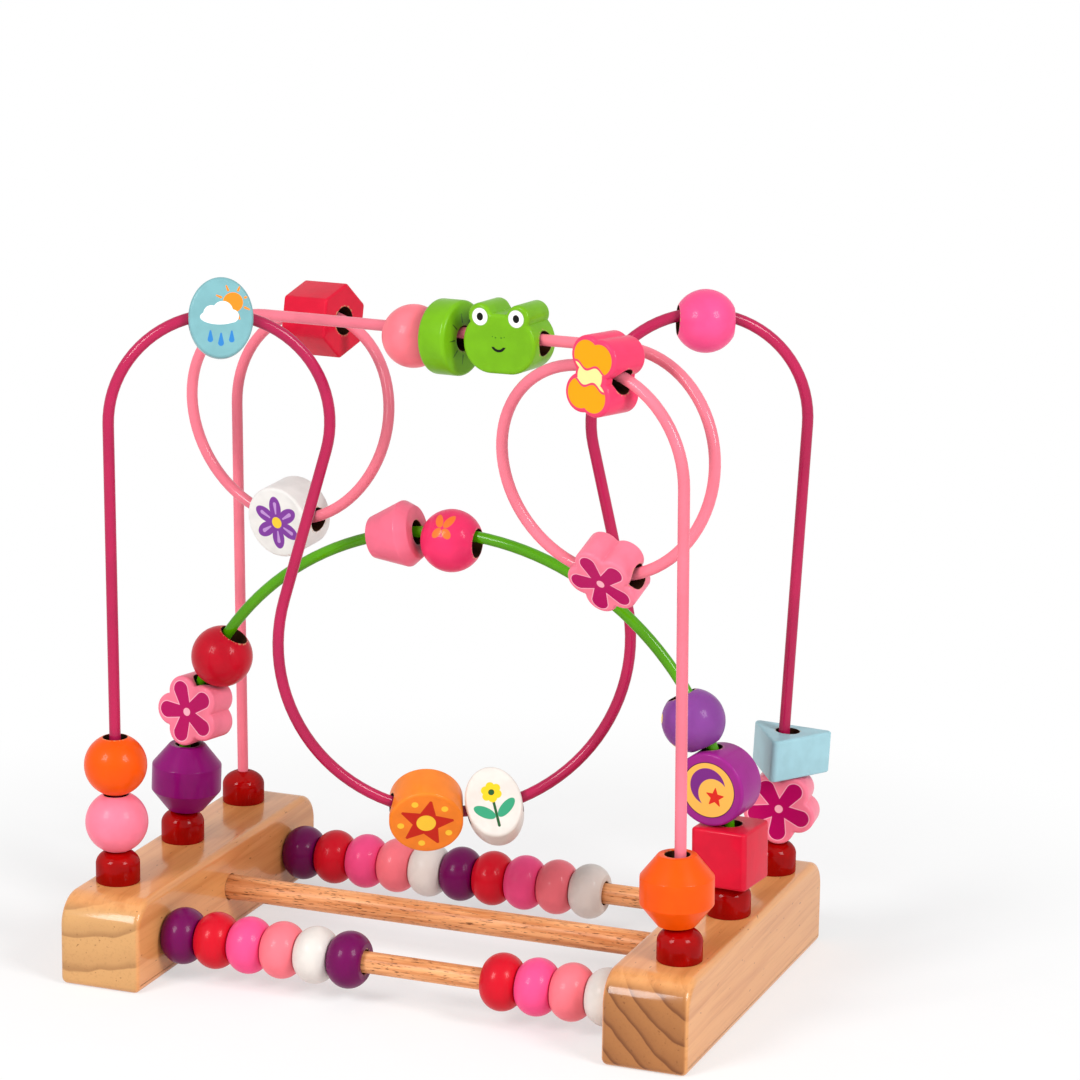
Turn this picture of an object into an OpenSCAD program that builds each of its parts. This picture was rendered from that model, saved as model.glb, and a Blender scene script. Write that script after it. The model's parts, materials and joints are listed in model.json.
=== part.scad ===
// Bead maze: two wooden rails, three dowels, three bent wires and painted beads that run along them.
// X runs along the dowels, Y from front to back, Z up. The origin is on the table, in the outline's middle.

/* [Base] */
// Length of the dowels between the rails
span = 170; // [165:1:180]
// Width of a rail
rail_w = 30; // [28:1:34]
// Height of a rail
rail_h = 32; // [30:1:36]
// Length of a rail, front to back
rail_l = 150; // [142:1:165]
// Radius of a rail's upper end corners
rail_round = 11; // [4:1:14]
// Radius of a rail's lower end corners
rail_toe = 2.5; // [1:0.5:5]
// Rounding of a rail's long edges
rail_ease = 2; // [0.5:0.5:4]
// Diameter of the front and back bead rods
rod_d = 7.6; // [6.5:0.1:8]
// Distance of the bead rods from the middle
rod_y = 51; // [45:1:55]
// Height of the bead rods above the table
rod_z = 15; // [13:1:17]
// Diameter of the middle stretcher
stretcher_d = 9; // [8:0.5:12]
// Height of the stretcher above the table
stretcher_z = 16.5; // [14:0.5:18]
// Depth of the dowel holes in the rails
dowel_in = 12; // [8:1:13]

/* [Caps] */
// Distance of the caps outside the rail's centre line
cap_out = 4; // [3:0.5:5]
// Distance of the outer caps from the middle one
cap_y = 51.5; // [46:0.5:56]
// Diameter of a cap
cap_d = 15.5; // [15:0.5:17]
// Height of a cap above the rail
cap_h = 12; // [11:0.5:14]
// Radius of a cap's dome edge
cap_round = 7; // [5:0.5:7]
// Diameter of the spigot under a cap
spigot_d = 8; // [7:0.5:10]
// Length of the spigot under a cap
spigot_l = 6; // [4:1:10]
// Diameter of the coated wires
wire_d = 4; // [3:0.1:4.2]
// Depth of the wire ends in the rails
wire_in = 14; // [11:1:18]

/* [Magenta wire] */
// Radius of the two arches
arch_r = 37.75; // [34:0.25:40]
// Height of the arch centres
arch_z = 195.5; // [185:0.5:205]
// Distance of the left arch centre from the middle
arch_left = 80; // [76:0.5:84]
// Distance of the right arch centre from the middle
arch_right = 85.5; // [80:0.5:88]
// Radius of the dip between the arches
dip_r = 61.5; // [56:0.5:66]
// Height of the dip's centre
dip_z = 117; // [110:0.5:124]
// Sideways shift of the dip
dip_shift = 1.5; // [-3:0.5:3]

/* [Light pink wire] */
// Turn of the top run from the X axis
top_turn = -12.5; // [-14:0.5:-11]
// Height of the top run's middle
top_z = 227.4; // [220:0.1:234]
// Half length of the top run
top_half = 74.7; // [72:0.1:76]
// Rise of the top run towards the right
top_rise = 2.2; // [0:0.1:3]
// Sideways shift of the top run's middle
top_shift_x = -4.7; // [-6:0.1:0]
// Shift of the top run's middle towards the front
top_shift_y = -2; // [-3:0.5:0]
// Radius of the loop half that joins the top run
loop_in_r = 38; // [36:0.5:39]
// Radius of the loop half that joins the post
loop_out_r = 37.2; // [36:0.1:39]
// Lean of the inner loop half
loop_in_tip = 8; // [6:0.5:9]
// Radius of the bend above a post
bend_r = 37; // [30:0.5:37]
// Lean of the posts along the top run
post_lean = -0.9; // [-1.5:0.1:0]

/* [Green wire] */
// Height where the arch leaves the straight legs
bow_z = 52.3; // [48:0.1:56]

/* [Round beads] */
// Diameter of a ball bead
ball_d = 22; // [20:0.5:22.5]
// Diameter of a drum bead
drum_d = 25; // [22:0.5:26]
// Height of a drum bead
drum_h = 24.5; // [20:0.5:25]
// Height of a drum's straight belt
drum_belt = 9.5; // [6:0.5:12]
// Diameter of a drum's ends
drum_end = 13; // [12:0.5:16]
// Diameter of a disc bead
disc_d = 26; // [24:0.5:26]
// Thickness of a disc bead
disc_t = 15; // [12:0.5:15]
// Diameter of the ring bead
ring_d = 26; // [24:0.5:28]
// Length of the ring bead
ring_l = 11; // [10:0.5:14]
// Wide diameter of the cone bead
cone_d = 23.5; // [21:0.5:25]
// Narrow diameter of the cone bead
cone_end = 14.5; // [13:0.5:18]
// Length of the cone bead
cone_l = 17; // [14:0.5:18]
// Bevel of the cone bead's wide end
cone_bevel = 4; // [2:0.5:5]

/* [Shaped beads] */
// Width of the oval bead along its wire
oval_w = 22; // [20:0.5:24]
// Height of the oval bead
oval_h = 27.5; // [26:0.5:30]
// Thickness of the oval bead
oval_t = 11; // [11:0.5:13]
// Width of the small oval bead along its wire
egg_w = 20; // [18:0.5:22]
// Height of the small oval bead
egg_h = 26; // [24:0.5:28]
// Thickness of the small oval bead
egg_t = 13; // [11:0.5:14]
// Radius from a flower's centre to a petal's centre
petal_at = 7.2; // [7:0.1:7.8]
// Radius of a petal
petal_r = 5.9; // [5.2:0.1:6]
// Radius of a flower's middle
flower_mid = 7.5; // [6.5:0.5:8]
// Thickness of a flower bead
flower_t = 12.5; // [11.5:0.5:13]
// Distance across the hexagon bead's corners
hex_d = 27; // [24:0.5:28]
// Length of the hexagon bead
hex_l = 19; // [14:0.5:20]
// Corner radius of the triangle bead's outline, before rounding
tri_r = 17.5; // [15:0.5:18]
// Height of the triangle bead
tri_h = 15; // [12:0.5:16]
// Edge of the cube bead
cube_s = 20.5; // [19:0.5:21]
// Width of the frog bead's head
frog_w = 28; // [25:0.5:28]
// Height of the frog bead's head without its eyes
frog_h = 20.5; // [19:0.5:22]
// Distance of the frog bead's eye knobs from its middle
frog_eye_at = 7.4; // [7:0.1:9]
// Radius of the frog bead's eye knobs
frog_eye = 4.4; // [4:0.1:5]
// Thickness of the frog bead
frog_t = 15; // [13:0.5:16]
// Radius of a lobe of the clover bead
clover_r = 6.6; // [6.4:0.1:7]
// Distance of a lobe's centre from the clover bead's bore
clover_up = 6.4; // [5:0.1:6.5]
// Distance of a lobe's centre from the clover bead's middle along the bore
clover_along = 2.8; // [2.6:0.1:5]
// Thickness of the clover bead
clover_t = 16; // [13:0.5:16]
// Rounding of the shaped beads' edges
edge_r = 1.2; // [0.5:0.1:1.5]

/* [Counting beads] */
// Diameter of a counting bead
count_d = 20; // [18:0.5:21]
// Thickness of a counting bead
count_t = 12.2; // [11:0.1:12.4]
// Radius of a counting bead's rounded rim
count_rim = 7.2; // [6.5:0.1:8]
// Beads at the left end of the front rod
front_left_count = 6; // [1:1:9]

/* [Bead places] */
// Place of the oval on the left arch, from its outer side
oval_at = 91; // [80:1:100]
// Place of the ball on the right arch, from its outer side
hot_ball_at = 88; // [80:1:100]
// Place of the orange disc on the dip, from its bottom
dip_disc_at = -9; // [-12:0.5:-6]
// Place of the ball on the top run, from its middle
top_ball_at = -10.6; // [-18:0.1:-10]
// Clear wire between the ring and the frog on the top run
frog_clear = 4.5; // [3:0.5:6]
// Place of the hexagon on the left bend's straight run, from the bend
hex_past = 3.2; // [0:0.1:3.5]
// Place of the clover on the right bend, from its top
clover_at_bend = 12; // [10:1:16]
// Place of the cone on the green arch
cone_at = 102; // [100:1:104]
// Place of the printed ball on the green arch
bow_ball_at = 90; // [86:1:91]

/* [Fits] */
// Bore of the beads on the wires
bead_bore = 8.4; // [8.2:0.1:8.8]
// Bore of the hexagon and of the balls on the bends and the top run
wide_bore = 10; // [9.8:0.1:10.2]
// Bore of the counting beads
rod_bore = 8.4; // [8.3:0.1:9]
// Gap between neighbouring beads at rest
bead_gap = 0.4; // [0.3:0.1:0.6]
// Gap along the wire between neighbouring beads whose edges meet on a bend
bend_gap = 1.3; // [1.2:0.1:2]
// Gap between neighbouring beads at rest on the green arch
bow_gap = 1.2; // [1.1:0.1:1.5]
// Side clearance of wires, dowels and spigots in their holes
glue_gap = 0.05; // [0.03:0.01:0.1]
// How far a bead hangs below the wire at the top of a curve
hang = 1.4; // [0.8:0.1:1.4]
// How far a ball with the wide bore hangs below its wire
ball_hang = 2.7; // [2:0.1:2.8]
// How far the ring hangs below its wire
ring_hang = 1.9; // [1:0.1:1.9]
// How far the beads at the right posts lean aside from their wires
post_aside = 1.2; // [0:0.1:1.2]
// How far the drum, the flower and the disc hang inside the green arch
bow_hang = 1.6; // [0:0.1:1.6]
// How far a bead sits above the wire at the bottom of a loop
lift = 0.9; // [0.8:0.1:1.2]

/* [Hidden] */
$fn = 96;
count_rows = ["front", "back"];
count_n = 10;
row_colours = ["purple", "crimson", "hotpink", "lightpink", "ivory"];

// The wires' straight stretches are a hair thinner than their bends and run a little way into them
wire_thin = wire_d - 0.02;
wire_lap = 0.4;
// The two halves of a loop stop this angle short of its lowest point, where a straight piece joins them
loop_split = 0.15;

// The right side's beads reach further out than the left side's, so the rails' middle is left of the origin
middle_x = 2.2;

rail_x = (span + rail_w) / 2;
cap_x = rail_x + cap_out;
dowel_l = span + 2 * dowel_in;
bead_rb = bead_bore / 2;
ball_r = ball_d / 2;

// Half length of a ball along its bore, narrow and wide
ball_half = sqrt(ball_r * ball_r - bead_rb * bead_rb);
wide_half = sqrt(ball_r * ball_r - pow(wide_bore / 2, 2));
// Height of a cap's dome at the rim of a bead's bore, which is where a bead comes to rest
cap_flat = cap_d / 2 - cap_round;
function dome(r) = cap_h - cap_round + sqrt(pow(cap_round, 2) - pow(r - cap_flat, 2));
seat = dome(bead_rb) + bead_gap;
// Flower: tip of the petal at the bore's lower end, and shoulder of the two petals at its upper end
flower_tip = petal_at + petal_r;
flower_top = petal_at * cos(36) + petal_r;
// A ball settles between the two upper petals
flower_ball = petal_at * cos(36) + sqrt(pow(ball_r + petal_r, 2) - pow(petal_at * sin(36), 2));

// Magenta wire, worked in its own upright plane and mirrored for the left side
mag_turn = atan2(cap_y, cap_x);
mag_foot = norm([cap_x, cap_y]);
function arch_u(side) = side < 0 ? arch_left : arch_right;
function foot_to_arch(side) = [arch_u(side) - mag_foot, arch_z - rail_h];
function mag_lean(side) =
    let (d = foot_to_arch(side)) atan2(d.y, d.x) - asin(arch_r / norm(d));
function mag_post(side) = sqrt(pow(norm(foot_to_arch(side)), 2) - arch_r * arch_r);
function flank(side) = [side * dip_shift - arch_u(side), dip_z - arch_z];
function flank_l(side) = sqrt(pow(norm(flank(side)), 2) - pow(arch_r + dip_r, 2));
function flank_turn(side) =
    let (d = flank(side)) atan2(d.y, d.x) - acos((arch_r + dip_r) / norm(d)) + 360;

// Light pink wire, worked in a frame with X along the top run
function in_top(p) = [
    (p.x - top_shift_x) * cos(top_turn) + (p.y - top_shift_y) * sin(top_turn),
    -(p.x - top_shift_x) * sin(top_turn) + (p.y - top_shift_y) * cos(top_turn),
    p.z - top_z];
function tilted(p) = [
    p.x * cos(top_rise) + p.z * sin(top_rise), p.y, -p.x * sin(top_rise) + p.z * cos(top_rise)];
function pink_foot(side) = tilted(in_top([side * cap_x, -side * cap_y, rail_h]));
function loop_low(side) = [
    side * top_half, -side * 2 * loop_in_r * sin(loop_in_tip), -2 * loop_in_r * cos(loop_in_tip)];
function loop_out_tip(side) = asin(-side * (pink_foot(side).y - loop_low(side).y) / (2 * loop_out_r));
function pass_z(side) = loop_low(side).z + 2 * loop_out_r * cos(loop_out_tip(side));
pink_lean = top_rise + post_lean;
function bend_turn(side) = 90 + side * pink_lean;
function bend_back(side) = bend_r * tan(bend_turn(side) / 2);
function bend_x(side) =
    pink_foot(side).x + (pass_z(side) - pink_foot(side).z) * tan(pink_lean) - side * bend_back(side);
function pink_post(side) = (pass_z(side) - pink_foot(side).z) / cos(pink_lean) - bend_back(side);

// Places of the beads along the wires
bow_r = cap_x;
function bow_angle(along) = (along - (bow_z - rail_h)) / bow_r * 180 / PI;
low_ball_up = seat + ball_half;
high_ball_up = low_ball_up + 2 * ball_half + bead_gap;
right_flower_up = seat + flower_tip;
triangle_up = right_flower_up + flower_top + bead_gap + tri_h / 2;
drum_up = dome(bead_rb - post_aside) + bead_gap + drum_h / 2;
bow_seat = seat + bead_gap;
bow_drum_up = bow_seat + drum_h / 2;
left_flower_up = bow_drum_up + drum_h / 2 + bow_gap + flower_tip;
red_ball_up = left_flower_up + flower_ball + bend_gap;
cube_up = bow_seat + cube_s / 2;
purple_disc_up = cube_up + cube_s / 2 + bow_gap + disc_d / 2;
purple_ball_up = purple_disc_up + disc_d / 2 + bow_gap + wide_half;
egg_at = dip_disc_at + (disc_d / 2 + bend_gap + egg_w / 2) / dip_r * 180 / PI;
ring_at = top_ball_at + wide_half + bead_gap + ring_l / 2;
frog_at = ring_at + ring_l / 2 + frog_clear + frog_w / 2;
count_pitch = count_t + bead_gap;

// Shapes

// A rectangle with its own radius at the lower and at the upper corners
module round_rect(w, h, low, high) {
    translate([-w / 2, low]) square([w, h - low - high]);
    translate([low - w / 2, 0]) square([w - 2 * low, low]);
    translate([high - w / 2, h - high]) square([w - 2 * high, high]);
    for (s = [-1, 1]) {
        translate([s * (w / 2 - low), low]) circle(low);
        translate([s * (w / 2 - high), h - high]) circle(high);
    }
}

// A pebble: a disc along Y with rounded rims
module pebble(r, t) {
    rotate([90, 0, 0]) rotate_extrude() {
        translate([0, -t / 2]) square([r - edge_r, t]);
        translate([0, edge_r - t / 2]) square([r, t - 2 * edge_r]);
        for (s = [-1, 1]) translate([r - edge_r, s * (t / 2 - edge_r)]) circle(edge_r);
    }
}

// A straight bar along X with the same rounded rims
module pebble_bar(l, r, t) {
    rotate([0, 90, 0]) linear_extrude(l, center = true) round_rect_middle(2 * r, t);
}

module round_rect_middle(w, h) {
    translate([0, -h / 2]) round_rect(w, h, edge_r, edge_r);
}

module bored(d = bead_bore) {
    difference() {
        children();
        cylinder(d = d, h = 4 * ball_d, center = true);
    }
}

// Beads, each with its bore along Z and its face to the front
module ball(bore = bead_bore) {
    bored(bore) sphere(d = ball_d);
}

module drum() {
    end_h = (drum_h - drum_belt) / 2;
    bored() union() {
        cylinder(d = drum_d, h = drum_belt, center = true);
        for (s = [0, 1]) mirror([0, 0, s]) translate([0, 0, drum_belt / 2])
            cylinder(d1 = drum_d, d2 = drum_end, h = end_h);
    }
}

module disc() {
    bored() pebble(disc_d / 2, disc_t);
}

module oval(w, h, t) {
    bored() union() {
        for (s = [-1, 1]) translate([s * (h - w) / 2, 0, 0]) pebble(w / 2, t);
        pebble_bar(h - w, w / 2, t);
    }
}

module flower() {
    bored() rotate([90, 0, 0]) linear_extrude(flower_t, center = true) union() {
        circle(flower_mid);
        for (i = [0 : 4]) rotate(72 * i) translate([0, -petal_at]) circle(petal_r);
    }
}

module hexagon() {
    bored(wide_bore) cylinder(d = hex_d, h = hex_l, center = true, $fn = 6);
}

module ring() {
    bored() rotate_extrude() translate([0, -ring_l / 2]) intersection() {
        round_rect(ring_d, ring_l, edge_r, edge_r);
        square([ring_d, ring_l]);
    }
}

module cone() {
    bored() translate([0, 0, -cone_l / 2]) union() {
        cylinder(d1 = cone_end + cone_bevel, d2 = cone_d, h = cone_bevel);
        translate([0, 0, cone_bevel]) cylinder(d1 = cone_d, d2 = cone_end, h = cone_l - cone_bevel);
    }
}

// A triangle with rounded corners, one arc of points at each corner
function round_triangle(r, rounding, steps = 8) = [
    for (corner = [0 : 2]) for (i = [0 : steps])
        let (at = 120 * corner, a = at - 60 + 120 * i / steps)
            [(r - 2 * rounding) * cos(at) + rounding * cos(a), (r - 2 * rounding) * sin(at) + rounding * sin(a)]];

module triangle() {
    bored() linear_extrude(tri_h, center = true) polygon(round_triangle(tri_r, edge_r));
}

module block() {
    bored() intersection_for (a = [[0, 0, 0], [90, 0, 0], [0, 90, 0]])
        rotate(a) linear_extrude(cube_s, center = true) round_rect_middle(cube_s, cube_s);
}

module frog() {
    head_r = frog_h / 2;
    side = (frog_w - frog_h) / 2;
    bored() union() {
        for (s = [-1, 1]) {
            translate([0, 0, s * side]) pebble(head_r, frog_t);
            translate([head_r - frog_eye / 4, 0, s * frog_eye_at]) pebble(frog_eye, frog_t);
        }
        rotate([0, 90, 0]) pebble_bar(2 * side, head_r, frog_t);
    }
}

module clover() {
    bored() union() {
        pebble(clover_r, clover_t);
        for (x = [-1, 1]) for (z = [-1, 1])
            translate([x * clover_up, 0, z * clover_along]) pebble(clover_r, clover_t);
    }
}

module count_bead() {
    rim_at = count_d / 2 - count_rim;
    rotate([0, 90, 0]) rotate_extrude() intersection() {
        translate([rim_at, 0]) circle(count_rim);
        translate([rod_bore / 2, -count_t / 2]) square([count_d, count_t]);
    }
}

// Places

// On an upright circle in the X-Z plane, with Z along the wire and X outwards
module on_arc(x, z, r, a, out = 0, flip = false) {
    translate([x, 0, z]) rotate([0, -a, 0]) translate([r + out, 0, 0])
        rotate([0, flip ? 180 : 0, 0]) children();
}

module arc_tube(r, from, to) {
    rotate([90, 0, 0]) rotate([0, 0, min(from, to)])
        rotate_extrude(angle = abs(to - from)) translate([r, 0]) circle(d = wire_d);
}

// On the rail top at a wire's foot, with Z along the wire
module at_foot(side, row) {
    translate([side * cap_x, row * cap_y, rail_h]) {
        if (row == 0) children();
        else if (side == row) rotate([0, 0, mag_turn]) rotate([0, side * (90 - mag_lean(side)), 0]) children();
        else rotate([0, 0, top_turn]) rotate([0, post_lean, 0]) children();
    }
}

module in_magenta() {
    rotate([0, 0, mag_turn]) children();
}

module in_top_frame() {
    translate([top_shift_x, top_shift_y, top_z]) rotate([0, 0, top_turn]) rotate([0, -top_rise, 0]) children();
}

module on_loop_in(side, a, out = 0, flip = false) {
    in_top_frame() translate([side * top_half, 0, 0]) rotate([-side * loop_in_tip, 0, 0])
        on_arc(0, -loop_in_r, loop_in_r, a, out, flip) children();
}

module on_loop_out(side, a, out = 0, flip = false) {
    in_top_frame() translate(loop_low(side)) rotate([side * loop_out_tip(side), 0, 0])
        on_arc(0, loop_out_r, loop_out_r, a, out, flip) children();
}

module on_bend(side, a, out = 0) {
    in_top_frame() translate([bend_x(side), pink_foot(side).y, pass_z(side) - bend_r])
        on_arc(0, 0, bend_r, a, out) children();
}

// Base

module rail(side) {
    color("burlywood") difference() {
        translate([side * rail_x, 0, 0]) intersection() {
            rotate([90, 0, 90]) linear_extrude(rail_w, center = true)
                round_rect(rail_l, rail_h, rail_toe, rail_round);
            rotate([90, 0, 0]) linear_extrude(rail_l, center = true)
                round_rect(rail_w, rail_h, rail_ease / 2, rail_ease);
            translate([0, 0, -1]) linear_extrude(rail_h + 2) translate([0, -rail_l / 2])
                round_rect(rail_w, rail_l, rail_ease, rail_ease);
        }
        for (s = [-1, 1]) dowel_shape(s * rod_y, rod_z, rod_d + 2 * glue_gap);
        dowel_shape(0, stretcher_z, stretcher_d + 2 * glue_gap);
        for (row = [-1 : 1]) {
            at_foot(side, row) translate([0, 0, -wire_in]) cylinder(d = wire_d + 2 * glue_gap, h = 2 * wire_in);
            translate([side * cap_x, row * cap_y, rail_h - spigot_l])
                cylinder(d = spigot_d + 2 * glue_gap, h = 2 * spigot_l);
        }
    }
}

module dowel_shape(y, z, d) {
    translate([0, y, z]) rotate([0, 90, 0]) cylinder(d = d, h = dowel_l, center = true);
}

module dowel(y, z, d) {
    color("sienna") dowel_shape(y, z, d);
}

module cap(side, row) {
    color("firebrick") difference() {
        translate([side * cap_x, row * cap_y, rail_h]) rotate_extrude() {
            square([cap_d / 2, cap_h - cap_round]);
            square([cap_flat, cap_h]);
            translate([cap_flat, cap_h - cap_round]) intersection() {
                circle(cap_round);
                square(cap_round);
            }
            translate([0, -spigot_l]) square([spigot_d / 2, spigot_l]);
        }
        at_foot(side, row) cylinder(d = wire_d + 2 * glue_gap, h = 4 * cap_h, center = true);
    }
}

// Wires

module foot_tube(side, row, l) {
    at_foot(side, row) translate([0, 0, -wire_in]) cylinder(d = wire_thin, h = l + wire_in + wire_lap);
}

// A straight stretch along Z between two bends
module run_tube(l) {
    translate([0, 0, -wire_lap]) cylinder(d = wire_thin, h = l + 2 * wire_lap);
}

module wire_magenta() {
    color("mediumvioletred") {
        for (side = [-1, 1]) {
            turn = flank_turn(side);
            foot_tube(side, side, mag_post(side));
            in_magenta() mirror([side < 0 ? 1 : 0, 0, 0]) translate([arch_u(side), 0, arch_z]) {
                arc_tube(arch_r, mag_lean(side) - 90, turn);
                rotate([0, -turn, 0]) translate([arch_r, 0, 0]) run_tube(flank_l(side));
            }
        }
        in_magenta() translate([dip_shift, 0, dip_z]) arc_tube(dip_r, -flank_turn(-1), flank_turn(1) - 180);
    }
}

module wire_pink() {
    color("lightcoral") {
        in_top_frame() translate([-top_half, 0, 0]) rotate([0, 90, 0]) run_tube(2 * top_half);
        for (side = [-1, 1]) {
            foot_tube(side, -side, pink_post(side));
            in_top_frame() {
                translate([side * top_half, 0, 0]) {
                    rotate([-side * loop_in_tip, 0, 0]) translate([0, 0, -loop_in_r])
                        arc_tube(loop_in_r, 90, 90 - side * (180 - loop_split));
                    translate([0, pink_foot(side).y, pass_z(side)]) rotate([0, side * 90, 0])
                        run_tube(abs(bend_x(side)) - top_half);
                }
                translate(loop_low(side)) {
                    rotate([0, 90, 0]) run_tube(0);
                    rotate([side * loop_out_tip(side), 0, 0]) translate([0, 0, loop_out_r])
                        arc_tube(loop_out_r, 90, 90 + side * (180 - loop_split));
                }
                translate([bend_x(side), pink_foot(side).y, pass_z(side) - bend_r])
                    arc_tube(bend_r, 90, 90 - side * bend_turn(side));
            }
        }
    }
}

module wire_green() {
    color("yellowgreen") {
        for (side = [-1, 1]) foot_tube(side, 0, bow_z - rail_h);
        translate([0, 0, bow_z]) arc_tube(bow_r, 0, 180);
    }
}

// Beads on the magenta wire

module pink_ball() {
    color("pink") at_foot(-1, -1) translate([0, 0, low_ball_up]) ball();
}

module orange_ball() {
    color("darkorange") at_foot(-1, -1) translate([0, 0, high_ball_up]) ball();
}

module blue_oval() {
    face_up = 13;
    color("lightblue") in_magenta() on_arc(-arch_left, arch_z, arch_r, 180 - oval_at, -hang)
        rotate([0, 0, face_up]) oval(oval_w, oval_h, oval_t);
}

module orange_disc() {
    face_down = 21;
    color("sandybrown") in_magenta() on_arc(dip_shift, dip_z, dip_r, dip_disc_at - 90)
        rotate([0, 0, face_down]) disc();
}

module white_oval() {
    face_up = 34;
    color("ivory") in_magenta() on_arc(dip_shift, dip_z, dip_r, egg_at - 90)
        rotate([0, 0, -face_up]) oval(egg_w, egg_h, egg_t);
}

module hotpink_ball() {
    color("hotpink") in_magenta() on_arc(arch_right, arch_z, arch_r, hot_ball_at, -ball_hang)
        ball(wide_bore);
}

module right_flower() {
    spin = -20;
    color("pink") at_foot(1, 1) translate([post_aside, 0, right_flower_up]) rotate([0, 0, spin]) flower();
}

module blue_triangle() {
    spin = 5;
    color("powderblue") at_foot(1, 1) translate([post_aside, 0, triangle_up]) rotate([0, 0, spin]) triangle();
}

// Beads on the light pink wire

module red_hexagon() {
    spin = 12;
    color("crimson") on_bend(-1, 90, -(hang + ball_hang) / 2) translate([0, 0, -hex_past])
        rotate([0, 0, spin]) hexagon();
}

module white_disc() {
    color("ivory") on_loop_in(-1, 270, -lift) disc();
}

module top_ball() {
    color("pink") in_top_frame() on_arc(top_ball_at, 0, 0, 90, -ball_hang) ball(wide_bore);
}

module green_ring() {
    color("yellowgreen") in_top_frame() on_arc(ring_at, 0, 0, 90, -ring_hang) ring();
}

module frog_head() {
    face_right = 4;
    color("yellowgreen") in_top_frame() on_arc(frog_at, 0, 0, 90, -hang) rotate([face_right, 0, 0]) frog();
}

module clover_block() {
    face_left = 7;
    color("deeppink") on_bend(1, 90 - clover_at_bend, -hang) rotate([-face_left, 0, 0]) clover();
}

module loop_flower() {
    face_down = 17;
    color("pink") on_loop_out(1, 270, -lift) rotate([0, 0, face_down]) flower();
}

module orange_drum() {
    color("darkorange") at_foot(1, -1) translate([-post_aside, 0, drum_up]) drum();
}

// Beads on the green wire

module on_bow(angle, out = 0, flip = false) {
    on_arc(0, bow_z, bow_r, angle, out, flip) children();
}

module purple_drum() {
    color("purple") on_bow(180 - bow_angle(bow_drum_up), -bow_hang) drum();
}

module left_flower() {
    spin = -10;
    color("pink") on_bow(180 - bow_angle(left_flower_up), -bow_hang, true)
        rotate([0, 0, spin]) flower();
}

module red_ball() {
    color("crimson") on_bow(180 - bow_angle(red_ball_up), -ball_hang) ball(wide_bore);
}

module pink_cone() {
    color("palevioletred") on_bow(cone_at, -hang) cone();
}

module printed_ball() {
    color("hotpink") on_bow(bow_ball_at, -ball_hang) ball(wide_bore);
}

module purple_ball() {
    color("rebeccapurple") on_bow(bow_angle(purple_ball_up), -ball_hang) ball(wide_bore);
}

module purple_disc() {
    spin = -8;
    color("purple") on_bow(bow_angle(purple_disc_up), -bow_hang) rotate([0, 0, spin]) disc();
}

module red_cube() {
    spin = -6;
    color("crimson") on_bow(bow_angle(cube_up)) rotate([0, 0, spin]) block();
}

// Counting beads: the front row is parted, the back row is pushed to the left
module counting_bead(row, i) {
    y = row == "front" ? -rod_y : rod_y;
    from_left = (i - 0.5) * count_pitch - span / 2;
    from_right = span / 2 - (count_n + 0.5 - i) * count_pitch;
    parted = row == "front" && i > front_left_count;
    color(row_colours[(i - 1) % len(row_colours)]) translate([parted ? from_right : from_left, y, rod_z])
        count_bead();
}

translate([-middle_x, 0, 0]) {
    rail(-1);  // rail_left
    rail(1);  // rail_right
    dowel(-rod_y, rod_z, rod_d);  // dowel_front
    dowel(0, stretcher_z, stretcher_d);  // dowel_middle
    dowel(rod_y, rod_z, rod_d);  // dowel_back
    cap(-1, -1);  // cap_left_front
    cap(-1, 0);  // cap_left_middle
    cap(-1, 1);  // cap_left_back
    cap(1, -1);  // cap_right_front
    cap(1, 0);  // cap_right_middle
    cap(1, 1);  // cap_right_back
    wire_magenta();
    wire_pink();
    wire_green();
    orange_ball();
    pink_ball();
    blue_oval();
    orange_disc();
    white_oval();
    hotpink_ball();
    blue_triangle();
    right_flower();
    red_hexagon();
    white_disc();
    top_ball();
    green_ring();
    frog_head();
    clover_block();
    loop_flower();
    orange_drum();
    purple_drum();
    left_flower();
    red_ball();
    pink_cone();
    printed_ball();
    purple_ball();
    purple_disc();
    red_cube();
    for (row = count_rows) for (i = [1 : count_n])
        counting_bead(row, i);
}
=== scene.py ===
# Bead maze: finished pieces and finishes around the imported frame
import json
import math

import bmesh
import bpy
import numpy as np
from mathutils import Matrix, Vector


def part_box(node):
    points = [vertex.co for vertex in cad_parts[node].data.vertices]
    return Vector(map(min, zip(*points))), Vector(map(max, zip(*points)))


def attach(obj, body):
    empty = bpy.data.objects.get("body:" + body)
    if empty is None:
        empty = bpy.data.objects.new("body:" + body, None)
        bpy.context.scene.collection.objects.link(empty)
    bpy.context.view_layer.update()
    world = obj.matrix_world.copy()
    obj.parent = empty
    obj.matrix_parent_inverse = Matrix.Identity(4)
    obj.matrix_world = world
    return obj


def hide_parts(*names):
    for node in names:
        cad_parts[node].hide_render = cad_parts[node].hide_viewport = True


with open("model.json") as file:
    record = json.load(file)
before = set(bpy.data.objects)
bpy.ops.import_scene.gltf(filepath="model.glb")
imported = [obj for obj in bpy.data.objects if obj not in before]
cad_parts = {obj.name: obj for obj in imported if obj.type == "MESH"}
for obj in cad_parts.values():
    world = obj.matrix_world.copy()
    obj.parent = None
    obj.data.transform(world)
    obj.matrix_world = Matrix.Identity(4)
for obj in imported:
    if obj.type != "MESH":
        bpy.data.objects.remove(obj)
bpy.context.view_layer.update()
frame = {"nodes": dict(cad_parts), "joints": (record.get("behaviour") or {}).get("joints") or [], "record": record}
scene = bpy.context.scene
scene.view_settings.view_transform = "Standard"
mm = 0.001  # pieces are drawn in millimetres and placed in metres
bodyOf = {node: body for body, nodes in frame["record"]["behaviour"]["bodies"].items() for node in nodes}
jointOf = {joint["child"]: joint for joint in frame["joints"]}
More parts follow.
